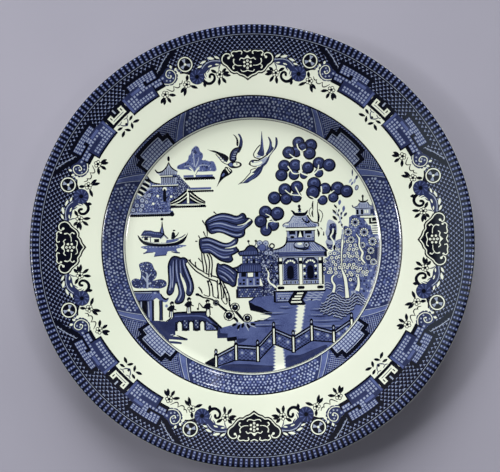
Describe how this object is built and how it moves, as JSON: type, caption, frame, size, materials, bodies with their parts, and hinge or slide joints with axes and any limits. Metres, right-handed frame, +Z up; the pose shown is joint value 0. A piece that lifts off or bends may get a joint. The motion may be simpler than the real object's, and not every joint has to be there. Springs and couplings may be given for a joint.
{
  "type": "dinner plate",
  "caption": "Round glazed china dinner plate: flat well, sloping cavetto, broad rim with a rounded lip, and a low foot ring underneath.",
  "frame": {"origin": "middle of the circle that the foot ring rests on, on the table plane", "axes": "+Z up along the plate's axis of revolution, out of its face; +Y to the top of the printed scene; +X to the scene's right"},
  "size_m": [0.26, 0.26, 0.024],
  "materials": {
    "glazed_white": "clear gloss glaze over warm white ware",
    "bare_foot": "unglazed, fine matt",
    "print_line": "near-black line, the print at its thickest, under the glaze",
    "print_navy": "dark blue ground, printed under the glaze",
    "print_cobalt": "mid cobalt blue, printed under the glaze",
    "print_wash": "pale cobalt tint of fine engraved lines, printed under the glaze"
  },
  "bodies": {
    "root": {"plate_body": "glazed_white"}
  },
  "joints": []
}
